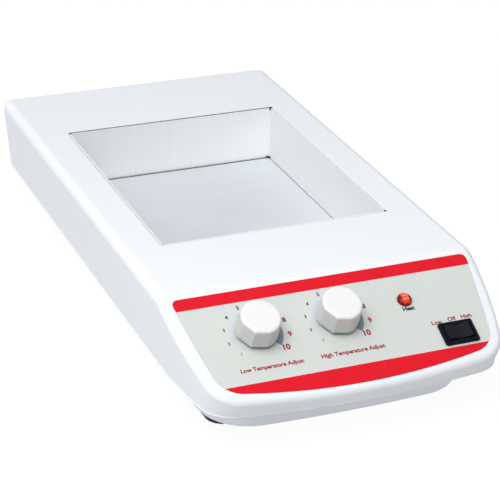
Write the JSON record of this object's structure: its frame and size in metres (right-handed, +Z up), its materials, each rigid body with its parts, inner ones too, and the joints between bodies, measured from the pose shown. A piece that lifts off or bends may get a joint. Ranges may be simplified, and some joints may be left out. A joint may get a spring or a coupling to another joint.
{
  "type": "dry block heater",
  "caption": "Benchtop dry block heater: white housing with an open rectangular aluminium block well, sloped panel with turning knobs, lamp and rocker switch, on rubber feet.",
  "frame": {"origin": "on the bench under the centre of the footprint", "axes": "+X to the right seen from the front, front panel faces -Y, +Z up"},
  "size_m": [0.2046, 0.4134, 0.0825],
  "materials": {
    "white_enamel": "moulded white, glossy",
    "pan_enamel": "moulded light grey-white",
    "overlay_film": "printed film, pale grey-green with red bands",
    "satin_aluminium": "satin",
    "zinc_steel": "zinc plated",
    "nickel_brass": "nickel plated",
    "black_rubber": "matte",
    "knob_white": "white, satin",
    "black_nylon": "black",
    "grey_plastic": "moulded",
    "red_lens": "red translucent, lit",
    "silicone_mat": "red-brown silicone",
    "ceramic_fibre": "fibre board",
    "board_green": "solder mask",
    "transformer_tape": "yellow tape over laminations",
    "wire_brown": "insulation",
    "wire_blue": "insulation",
    "wire_green_yellow": "insulation",
    "wire_white": "glass braid insulation",
    "fuse_glass": "clear"
  },
  "bodies": {
    "casing": {"upper_housing": "white_enamel", "base_pan": "pan_enamel", "panel_overlay": "overlay_film", "well_frame": "satin_aluminium", "heater_plate": "satin_aluminium", "heater_mat": "silicone_mat", "clamp_plate": "zinc_steel", "insulation_blanket": "ceramic_fibre", "insulation_wrap": "ceramic_fibre", "thermal_cutoff": "zinc_steel", "temperature_sensor": "zinc_steel", "potentiometer_low": "nickel_brass", "potentiometer_high": "nickel_brass", "bushing_nut_low": "zinc_steel", "bushing_nut_high": "zinc_steel", "lamp_lens": "red_lens", "lamp_body": "black_nylon", "lamp_clip": "zinc_steel", "switch_body": "black_nylon", "switch_base": "grey_plastic", "control_board": "board_green", "board_screw_left": "zinc_steel", "board_screw_right": "zinc_steel", "transformer": "transformer_tape", "terminal_block": "grey_plastic", "triac_heatsink": "satin_aluminium", "triac": "black_nylon", "filter_capacitor": "grey_plastic", "power_inlet": "black_nylon", "inlet_pin_live": "nickel_brass", "inlet_pin_neutral": "nickel_brass", "inlet_pin_earth": "nickel_brass", "inlet_screw_left": "zinc_steel", "inlet_screw_right": "zinc_steel", "earth_stud": "zinc_steel", "mains_lead_live": "wire_brown", "mains_lead_neutral": "wire_blue", "earth_lead": "wire_green_yellow", "heater_lead_left": "wire_white", "heater_lead_right": "wire_white", "foot_front_left": "black_rubber", "base_screw_front_left": "zinc_steel", "frame_screw_front_left": "zinc_steel", "foot_front_right": "black_rubber", "base_screw_front_right": "zinc_steel", "frame_screw_front_right": "zinc_steel", "foot_rear_left": "black_rubber", "base_screw_rear_left": "zinc_steel", "frame_screw_rear_left": "zinc_steel", "foot_rear_right": "black_rubber", "base_screw_rear_right": "zinc_steel", "frame_screw_rear_right": "zinc_steel"},
    "knob_low_unit": {"knob_low": "knob_white", "shaft_low": "satin_aluminium"},
    "knob_high_unit": {"knob_high": "knob_white", "shaft_high": "satin_aluminium"},
    "rocker": {"switch_rocker": "black_nylon"},
    "fuse_tray": {"fuse_drawer": "black_nylon", "fuse": "fuse_glass"}
  },
  "joints": [
    {"name": "low_knob_turn", "type": "hinge", "parent": "casing", "child": "knob_low_unit", "pos_m": [-0.0537, -0.16291, 0.06297], "axis": [0, 0.4517, -0.8922], "range_deg": [0, 280]},
    {"name": "high_knob_turn", "type": "hinge", "parent": "casing", "child": "knob_high_unit", "pos_m": [-0.0025, -0.16291, 0.06297], "axis": [0, 0.4517, -0.8922], "range_deg": [0, 280]},
    {"name": "rocker_tilt", "type": "hinge", "parent": "casing", "child": "rocker", "pos_m": [0.0675, -0.18383, 0.0507], "axis": [0, 0.8922, 0.4517], "range_deg": [-10, 10]},
    {"name": "fuse_drawer_slide", "type": "slide", "parent": "casing", "child": "fuse_tray", "axis": [0, 0.9968, -0.0793], "range_m": [0, 0.022]}
  ]
}
